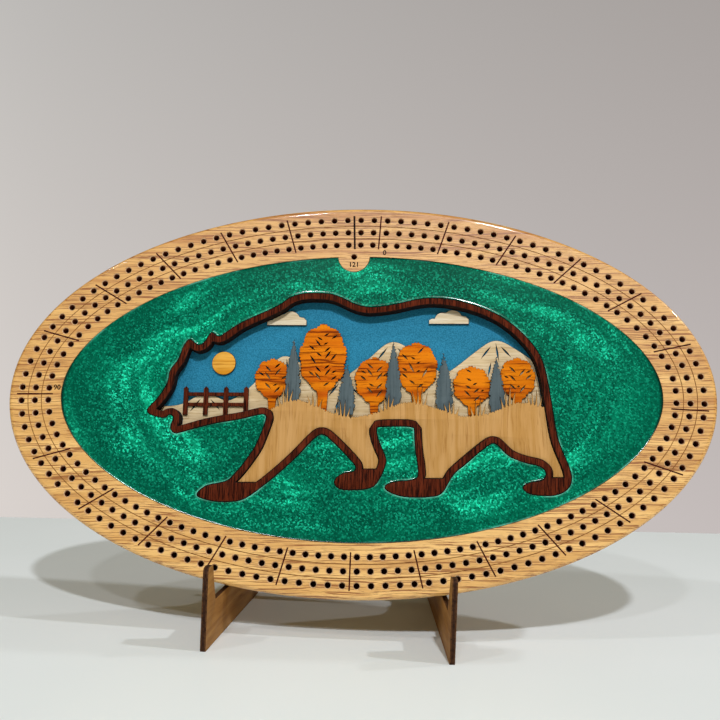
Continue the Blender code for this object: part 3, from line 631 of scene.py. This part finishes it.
def faceOutlines(name):
    # a node's outlines in the board's plane, and the heights of its front and back
    solid = bmesh.new()
    solid.from_mesh(nodes[name].data)
    bmesh.ops.transform(solid, matrix=boardPlace.inverted(), verts=solid.verts)
    bmesh.ops.remove_doubles(solid, verts=solid.verts, dist=weld["node"])
    heights = [v.co.z for v in solid.verts]
    return outlinesOf(solid), max(heights), min(heights)


def turnsMoreThan(outline, index, angle):
    before, here, after = outline[index - 1], outline[index], outline[(index + 1) % len(outline)]
    return abs((here - before).angle_signed(after - here, 0.0)) > radians(angle)


def tidied(outline):
    # drops points that lie on a straight run between their neighbours
    slight = sheet["straightAngle"]
    return [here for index, here in enumerate(outline) if turnsMoreThan(outline, index, slight)]


def sheetMesh(outlines, front, back, burntRim):
    # a smooth-edged sheet from its outlines: sharp corners stay, the rest is curved
    curve = bpy.data.curves.new("sheet", "CURVE")
    curve.dimensions = "2D"
    curve.fill_mode = "BOTH"
    curve.resolution_u = sheet["curveSteps"]
    curve.bevel_depth = burntRim
    curve.bevel_resolution = sheet["rimSteps"]
    curve.offset = -burntRim
    curve.extrude = (front - back) / 2 - burntRim
    for outline in map(tidied, outlines):
        spline = curve.splines.new("BEZIER")
        spline.bezier_points.add(len(outline) - 1)
        spline.use_cyclic_u = True
        for index, (point, here) in enumerate(zip(spline.bezier_points, outline)):
            sharp = turnsMoreThan(outline, index, sheet["cornerAngle"])
            point.co = (here.x, here.y, 0)
            point.handle_left_type = point.handle_right_type = "VECTOR" if sharp else "AUTO"
    shape = solidFrom(curve, Matrix.Translation((0, 0, (front + back) / 2)))
    if shape.calc_volume(signed=True) < 0:
        bmesh.ops.reverse_faces(shape, faces=shape.faces[:])
    return shape


def burnEdges(shape):
    # finish 1 goes on the cut walls and their rounded rims
    shape.normal_update()
    for face in shape.faces:
        face.material_index = 0 if abs(face.normal.z) > sheet["flat"] else 1


def evenPoints(outline, step):
    # an even number of points about a step apart round an outline, each with its way in
    sides = [(here, outline[(index + 1) % len(outline)] - here) for index, here in enumerate(outline)]
    total = sum(way.length for _, way in sides)
    count = 2 * round(total / step / 2)
    points = []
    left = 0.0
    for here, way in sides:
        while left < way.length and len(points) < count:
            points.append((here + way * (left / way.length), Vector((-way.y, way.x)).normalized()))
            left += total / count
        left -= way.length
    return points


def isInside(point, outline):
    crossings = 0
    for here, after in zip(outline, outline[1:] + outline[:1]):
        if (here.y > point.y) != (after.y > point.y):
            crossings += point.x < here.x + (after.x - here.x) * (point.y - here.y) / (after.y - here.y)
    return crossings % 2 == 1


def isClear(point, outline, room):
    return isInside(point, outline) and min((point - other).length for other in outline) > room


foliage = {
    "chance": 700.0,             # waves of the chance noise in a metre
    "trunkShare": 0.3,           # of a tree's height, without leaves
    "leaf": 2.1 * mm,
    "notch": 0.9 * mm,
    "spike": 1.9 * mm,
    "spikeNotch": 1.0 * mm,
    "notchShare": 0.7,           # of a notch's depth, and what chance adds or takes
    "notchSpread": 1.2,
    # slots stand in two rows on each side of a crown's middle
    "slotStarts": (1.3 * mm, 6.6 * mm),
    "slotSpread": 3,             # keeps the chances of the two rows apart
    "slotLength": 4.0 * mm,
    "slotWidth": 0.9 * mm,
    "slotRise": 2.5 * mm,
    "slotTilt": 40,
    "slotChecks": 4,             # steps along a slot that have to lie clear of the edge
    "slotRoom": 1.1 * mm,
    "slotApart": 1.3,            # that room from slot to slot, times this
    "summitReach": 12 * mm,
    # each crease: degrees from straight down, start below the summit and length
    "creases": [(8, 2.5 * mm, 9 * mm), (42, 5.5 * mm, 7 * mm), (-38, 5 * mm, 8 * mm), (-12, 14 * mm, 7 * mm)],
    "blade": 1.3 * mm,
    "bladeLength": 1.1 * mm,
    "bladeShare": 0.75,          # of a blade's length, and chance is added
    "bladeSlope": -0.7,          # grass grows where the way into the bank leads down this steeply
}


def chanceAt(point):
    # a number about 0, fixed for each place
    return noise.noise(point.to_3d() * foliage["chance"])


def leafyCrown(outlines, leaf, notch):
    # pointed leaves along a crown's edge. They are cut inwards, so it keeps inside its outline
    outline = tidied(outlines[0])
    low, high = min(p.y for p in outline), max(p.y for p in outline)
    crown = low + (high - low) * foliage["trunkShare"]
    leaves = []
    for index, (point, way) in enumerate(evenPoints(outline, leaf / 2)):
        depth = notch * (foliage["notchShare"] + foliage["notchSpread"] * chanceAt(point))
        leaves.append(point + way * (depth if index % 2 and point.y > crown else 0))
    return leaves, crown, high


def slotBetween(root, tip):
    bulge = (tip - root).normalized().orthogonal() * foliage["slotWidth"] / 2
    return [root, (root + tip) / 2 + bulge, tip, (root + tip) / 2 - bulge]


def leafyTree(outlines):
    # a broad crown with slots between its branches
    leaves, crown, high = leafyCrown(outlines, foliage["leaf"], foliage["notch"])
    middle = (min(p.x for p in leaves) + max(p.x for p in leaves)) / 2
    slots, taken = [], []
    height, side = crown + foliage["slotRise"] / 2, 1
    while height < high:
        for start in foliage["slotStarts"]:
            chance = chanceAt(Vector((start * foliage["slotSpread"], height)))
            turn = radians(foliage["slotTilt"] * (1 + chance))
            tilt = Vector((side * cos(turn), sin(turn)))
            root = Vector((middle, height)) + tilt * (start + chance * foliage["slotRise"])
            tip = root + tilt * foliage["slotLength"] * (1 + chance)
            checks = foliage["slotChecks"]
            spots = [root.lerp(tip, step / checks) for step in range(checks + 1)]
            apart = foliage["slotRoom"] * foliage["slotApart"]
            if (all(isClear(spot, leaves, foliage["slotRoom"]) for spot in spots)
                    and all((spot - other).length > apart for spot in spots for other in taken)):
                slots.append(slotBetween(root, tip))
                taken += spots
        height, side = height + foliage["slotRise"], -side
    return [leaves, *slots]


def spikyTree(outlines):
    leaves, _, _ = leafyCrown(outlines, foliage["spike"], foliage["spikeNotch"])
    return [leaves]


def ridgedHills(outlines):
    # slots that run down from each summit, as the creases of the slopes
    outline = outlines[0]
    slots = []
    for summit in outline:
        near = [p for p in outline if abs(p.x - summit.x) < foliage["summitReach"]]
        if summit.y < 0 or any(p.y > summit.y for p in near):
            continue
        for lean, start, length in foliage["creases"]:
            way = Vector((sin(radians(lean)), -cos(radians(lean))))
            root = summit + way * start
            tip = root + way * length
            if isClear(root, outline, foliage["slotRoom"]) and isClear(tip, outline, foliage["slotRoom"]):
                slots.append(slotBetween(root, tip))
    return [*outlines, *slots]


def grassyTop(outlines):
    # the upper edge of a bank cut into short blades of grass
    grassy = []
    for outline in map(tidied, outlines):
        blades = []
        for index, here in enumerate(outline):
            way = outline[(index + 1) % len(outline)] - here
            down = Vector((-way.y, way.x)).normalized()
            blades.append(here)
            count = round(way.length / foliage["blade"]) if down.y < foliage["bladeSlope"] else 0
            for number in range(count):
                foot = here + way * ((number + 0.5) / count)
                depth = foliage["bladeLength"] * (foliage["bladeShare"] + chanceAt(foot))
                blades.append(foot + down * depth)
                blades.append(here + way * ((number + 1) / count))
            if count:
                blades.pop()
        grassy.append(blades)
    return grassy


def addSheet(name, node, finish, burntRim=0.2 * mm, detail=None):
    outlines, front, back = faceOutlines(node)
    if detail:
        outlines = detail(outlines)
    shape = sheetMesh(outlines, front, back, burntRim)
    burnEdges(shape)
    addPiece(name, meshFrom(shape, name, finish, charredEdge), "board", node, place=boardPlace)


resinField = {
    "step": 0.5 * mm,
    "nearWall": 0.97,            # of a loop's distance: what comes nearer to another wall is left out
    # the resin climbs its walls a little: distance from a wall and depth below its rim
    "meniscus": [(0.25 * mm, 0.07 * mm), (0.6 * mm, 0.12 * mm), (1.1 * mm, 0.15 * mm), (1.5 * mm, 0.15 * mm)],
}


def drawnIn(outlines, width):
    # outlines moved into the material, without the points that come too near another wall
    walls = KDTree(sum(len(outline) for outline in outlines))
    for index, (point, _) in enumerate(pair for outline in outlines for pair in outline):
        walls.insert(point.to_3d(), index)
    walls.balance()
    moved = [[point + way * width for point, way in outline] for outline in outlines]
    least = width * resinField["nearWall"]
    return [[spot for spot in outline if walls.find(spot.to_3d())[2] > least] for outline in moved]


def addLoop(shape, outline, height):
    # a closed run of edges at one height
    ring = [shape.verts.new((point.x, point.y, height)) for point in outline]
    return [shape.edges.new(pair) for pair in zip(ring, ring[1:] + ring[:1])]


def fillBetween(shape, *loops):
    edges = [edge for loop in loops for edge in loop]
    bmesh.ops.triangle_fill(shape, edges=edges, use_beauty=True, normal=(0, 0, 1))


def addResin():
    outlines, front, back = faceOutlines("resin_field")
    smooth = outlinesOf(sheetMesh(outlines, front, back, 0.0))
    walls = [evenPoints(outline, resinField["step"]) for outline in smooth]
    shape = bmesh.new()
    feet = [addLoop(shape, [point for point, _ in outline], back) for outline in walls]
    fillBetween(shape, *feet)
    rims = []
    for foot in feet:
        raised = bmesh.ops.extrude_edge_only(shape, edges=foot)["geom"]
        rims.append([edge for edge in raised if isinstance(edge, bmesh.types.BMEdge)])
        bmesh.ops.translate(shape, vec=(0, 0, front - back), verts=cornersOf(raised))
    for width, depth in resinField["meniscus"]:
        rings = [addLoop(shape, outline, front - depth) for outline in drawnIn(walls, width)]
        for rim, ring in zip(rims, rings):
            fillBetween(shape, rim, ring)
        rims = rings
    fillBetween(shape, *rims)
    bmesh.ops.recalc_face_normals(shape, faces=shape.faces[:])
    lowest = front - resinField["meniscus"][-1][1]
    climbs = [(v.co.z - lowest) / (front - lowest) if v.co.z > lowest else 0.0 for v in shape.verts]
    mesh = meshFrom(shape, "resin", resin)
    mesh.attributes.new("climb", "FLOAT", "POINT").data.foreach_set("value", climbs)
    addPiece("pearlResinField", mesh, "board", "resin_field", place=boardPlace)


addResin()
addSheet("bearFrame", "bear_frame", mahogany, burntRim=0.35 * mm)
addSheet("skyBehind", "sky_panel", skyPanel, burntRim=0.1 * mm)
addSheet("farHills", "far_hills", creamVeneer, 0.15 * mm, ridgedHills)
addSheet("sunDisc", "sun_disc", goldVeneer)
addSheet("cloudLeft", "cloud_left", cloudVeneer)
addSheet("cloudRight", "cloud_right", cloudVeneer)
for number in range(1, 7):
    addSheet(f"autumnTree{number}", f"autumn_tree_{number}", orangeVeneer, 0.12 * mm,
             leafyTree)
for number in range(1, 6):
    addSheet(f"poplar{number}", f"poplar_{number}", slateVeneer, 0.1 * mm, spikyTree)
addSheet("railFence", "rail_fence", mahogany, burntRim=0.15 * mm)
addSheet("nearBank", "foreground_bank", tanVeneer, 0.1 * mm, grassyTop)
print("resin and picture laid in")


# Stand

stand = {
    "toeIn": 3.2,                # degrees that each leg is turned in by
    "rim": 0.18 * mm,
    "rimSteps": 2,
    "flatAngle": 1,              # degrees: a slighter bend is no edge
    "edgeAngle": 60,
    "faceShare": 0.9,            # how far a face has to look out of the sheet, to be its clean side
}


def addPly(name, node, turn):
    # a copy of the node's sheet with its cut edges eased and charred
    shape = bmesh.new()
    shape.from_mesh(nodes[node].data)
    spin = Matrix.Rotation(radians(turn), 4, "Z")
    bmesh.ops.transform(shape, matrix=spin.inverted(), verts=shape.verts)
    bmesh.ops.remove_doubles(shape, verts=shape.verts, dist=weld["node"])
    bmesh.ops.dissolve_limit(shape, angle_limit=radians(stand["flatAngle"]), verts=shape.verts,
                             edges=shape.edges)
    shape.normal_update()
    through = 1 if "brace" in node else 0        # the axis that the sheet is thin along
    rims = [edge for edge in shape.edges
            if len(edge.link_faces) == 2 and edge.calc_face_angle(0) > radians(stand["edgeAngle"])
            and max(abs(face.normal[through]) for face in edge.link_faces) > stand["faceShare"]]
    bmesh.ops.bevel(shape, geom=rims, offset=stand["rim"], offset_type="OFFSET", segments=stand["rimSteps"],
                    profile=0.5, affect="EDGES", material=-1, clamp_overlap=True)
    shape.normal_update()
    for face in shape.faces:
        face.material_index = 0 if abs(face.normal[through]) > stand["faceShare"] else 1
    low = min(v.co[through] for v in shape.verts)
    high = max(v.co[through] for v in shape.verts)
    depths = [(v.co[through] - low) / (high - low) for v in shape.verts]
    mesh = meshFrom(shape, name, plyFace, plyEdge)
    mesh.attributes.new("sheetDepth", "FLOAT", "POINT").data.foreach_set("value", depths)
    addPiece(name, mesh, "stand", node, place=spin)


addPly("standLegLeft", "stand_leg_left", -stand["toeIn"])
addPly("standLegRight", "stand_leg_right", stand["toeIn"])
addPly("standBrace", "stand_brace", 0)
print("stand cut")


# Floor, light and camera

studio = {
    "tableReach": 3.0,
    "tableBack": 0.349,          # where the table ends behind the board
    "tableTurn": 8.2,            # its edge isn't square to the board
    # the wall's tones on the left and on the right, low and high, and the ways of sight between which they
    # change, up and across. The change is painted light: the wall is paler low and on the left
    "wallLeft": ("#DCD5D0", "#BFBDBA"),
    "wallRight": ("#C4BCBA", "#A6A09D"),
    "wallUp": (-0.14, 0.34),
    "wallAcross": (-0.39, 0.31),
    "wallBend": 0.6,
    "air": "#F3E6BC",            # the light of the room, warm from its wood
    "fill": 0.26,
    "gloss": 0.05,               # the dim room that shiny surfaces mirror
    "lampDistance": 5.0,
    "lampSize": 0.2,
    "lampTarget": (0, 0, 0.1),
    "lampColour": "#F3F7FF",
    # the way towards each ceiling spot, and its watts
    "lamps": {
        "lampRight": ((0.173, -1.03, 1), 150),
        "lampLeft": ((-0.175, -1.16, 1), 34),
        "lampFarRight": ((1.0, -0.16, 1), 76),
        "lampBack": ((1.08, 0.41, 1), 34),
        "lampFarLeft": ((-0.65, -0.6, 1), 30),
    },
}
view = {
    "place": (0.02557, -0.59426, 0.15424),
    "turn": (89.984, -2.259, 2.548),     # degrees
    "lens": 50.55,                       # in millimetres, as the sensor
    "sensor": 36,
    "near": 0.01,
}


def addTable():
    # white laminate: even and faintly glossy, a touch greyer where it is worn
    material, tree = newFinish("whiteLaminate", {"Roughness": 0.4})
    wear = grain(tree, addNode(tree, "TexCoord", {}, "Object"), even, 400 * mm)
    colour = addNode(tree, "ValToRGB", {"Fac": wear, "stops": {0.3: "#E9ECEA", 0.7: "#E3E7E4"}})
    tree.links.new(colour, tree.nodes["Principled BSDF"].inputs["Base Color"])
    shape = bmesh.new()
    bmesh.ops.create_grid(shape, x_segments=1, y_segments=1, size=studio["tableReach"])
    bmesh.ops.translate(shape, vec=(0, studio["tableBack"] - studio["tableReach"], 0), verts=shape.verts)
    bmesh.ops.rotate(shape, matrix=Matrix.Rotation(radians(studio["tableTurn"]), 3, "Z"), verts=shape.verts,
                     cent=(0, studio["tableBack"], 0))
    placed("table", meshFrom(shape, "table", material))


def setWorld():
    # the wall is painted for the camera, with painted light on it: paler low and on the left, darker up and
    # to the right. What is glossy mirrors it dimly, and the rest gets the room's light
    world = bpy.data.worlds.new("studioAir")
    bpy.context.scene.world = world
    world.use_nodes = True
    tree = world.node_tree
    air = addNode(tree, "Background", {"Color": studio["air"], "Strength": studio["fill"]})
    way = addNode(tree, "TexCoord", {}, "Generated")
    height, side = [addNode(tree, "MapRange", {"Value": addNode(tree, "SeparateXYZ", {0: way}, axis),
                                               "From Min": start, "From Max": end})
                    for axis, (start, end) in (("Z", studio["wallUp"]), ("X", studio["wallAcross"]))]
    across = addNode(tree, "Math", {"operation": "POWER", 0: side, 1: studio["wallBend"]})
    left, right = [addNode(tree, "Mix", {**blend, 0: height, 6: low, 7: high}, blended)
                   for low, high in (studio["wallLeft"], studio["wallRight"])]
    wall = addNode(tree, "Mix", {**blend, 0: across, 6: left, 7: right}, blended)
    shown = addNode(tree, "Background", {"Color": wall, "Strength": 1.0})
    mirrored = addNode(tree, "Background", {"Color": wall, "Strength": studio["gloss"]})
    glossy = addNode(tree, "LightPath", {}, "Is Glossy Ray")
    seen = addNode(tree, "LightPath", {}, "Is Camera Ray")
    lit = addNode(tree, "MixShader", {0: glossy, 1: air, 2: mirrored})
    mix = addNode(tree, "MixShader", {0: seen, 1: lit, 2: shown})
    tree.links.new(mix, tree.nodes["World Output"].inputs["Surface"])


def addLamp(name, way, power):
    lamp = bpy.data.lights.new(name, "AREA")
    lamp.shape = "DISK"
    lamp.size = studio["lampSize"]
    lamp.energy = power
    lamp.color = linear(studio["lampColour"])[:3]
    hung = placed(name, lamp)
    hung.location = Vector(way).normalized() * studio["lampDistance"] + Vector(studio["lampTarget"])
    hung.rotation_euler = Vector(way).to_track_quat("Z", "Y").to_euler()


def addCamera():
    lens = bpy.data.cameras.new("camera")
    lens.lens = view["lens"]
    lens.sensor_width = view["sensor"]
    lens.clip_start = view["near"]
    camera = placed("camera", lens)
    camera.location = view["place"]
    camera.rotation_euler = [radians(angle) for angle in view["turn"]]
    bpy.context.scene.camera = camera


addTable()
setWorld()
for name, (way, power) in studio["lamps"].items():
    addLamp(name, way, power)
addCamera()
bpy.context.scene.view_settings.view_transform = "Standard"
print("table, light and camera set")
